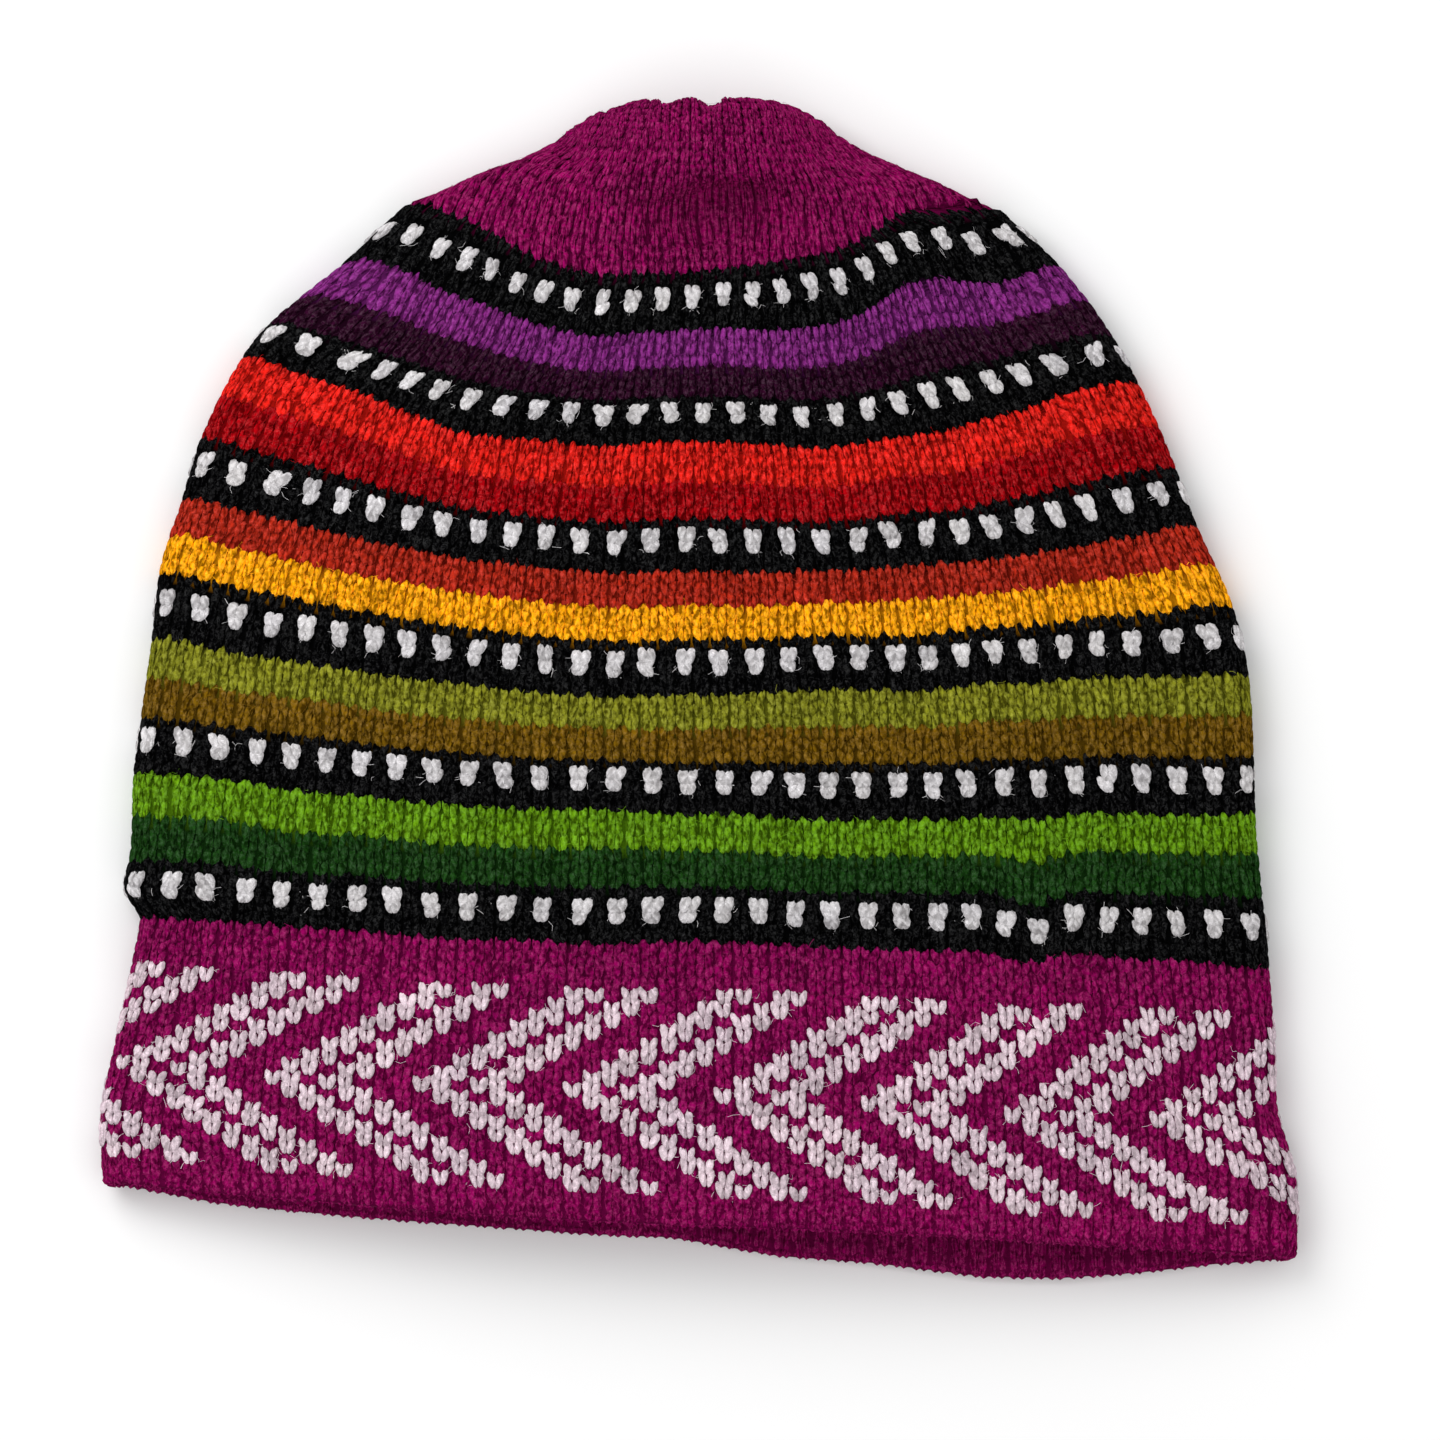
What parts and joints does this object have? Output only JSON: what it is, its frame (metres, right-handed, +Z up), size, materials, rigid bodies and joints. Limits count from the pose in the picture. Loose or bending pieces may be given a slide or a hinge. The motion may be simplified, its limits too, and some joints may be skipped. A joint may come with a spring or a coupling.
{
  "type": "beanie",
  "caption": "Knitted beanie lying flat: gathered crown, striped body with rows of dots and a doubled brim with a chevron band.",
  "frame": {"origin": "on the surface the hat lies on, under the middle of its outline", "axes": "+X across the hat from the left side fold to the right one, +Y from the mouth to the crown, +Z up through the rear layer and then the front layer"},
  "size_m": [0.2508, 0.2486, 0.0325],
  "materials": {
    "crown_wool": "matt heathered magenta wool, plain knit",
    "striped_wool": "matt wool, plain knit in black bands with white dots and pairs of coloured stripes",
    "brim_wool": "matt heathered magenta wool with a white chevron band knitted in"
  },
  "bodies": {
    "root": {"crown": "crown_wool", "striped_body": "striped_wool", "brim": "brim_wool"}
  },
  "joints": []
}
